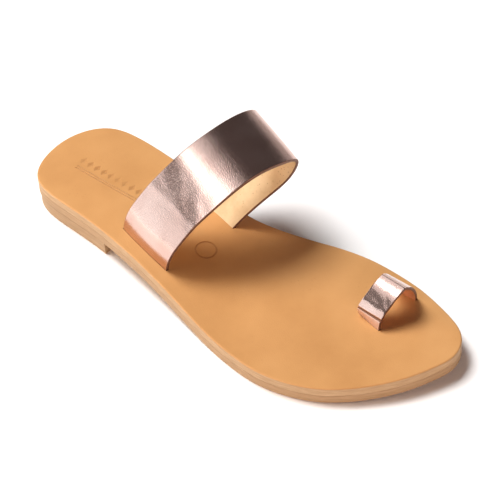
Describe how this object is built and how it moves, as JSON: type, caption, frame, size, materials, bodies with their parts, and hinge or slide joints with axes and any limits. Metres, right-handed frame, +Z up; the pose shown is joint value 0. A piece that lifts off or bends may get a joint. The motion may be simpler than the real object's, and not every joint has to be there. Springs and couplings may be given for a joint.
{
  "type": "flat sandal",
  "caption": "Flat slide sandal for the right foot: slim leather sole with a low heel, a wide instep strap and a loop for the big toe.",
  "frame": {"origin": "on the ground under the middle of the sandal's overall box", "axes": "+Z up, toe towards -Y, inner (big toe) side towards +X"},
  "size_m": [0.1058, 0.25, 0.0661],
  "materials": {
    "tan_leather": "smooth natural tan leather",
    "sole_leather": "pale cut leather edge",
    "metallic_leather": "crackled rose metallic foil"
  },
  "bodies": {
    "root": {"footbed": "tan_leather", "outsole": "sole_leather", "heel_lift": "sole_leather", "instep_strap": "metallic_leather", "toe_loop": "metallic_leather"}
  },
  "joints": []
}
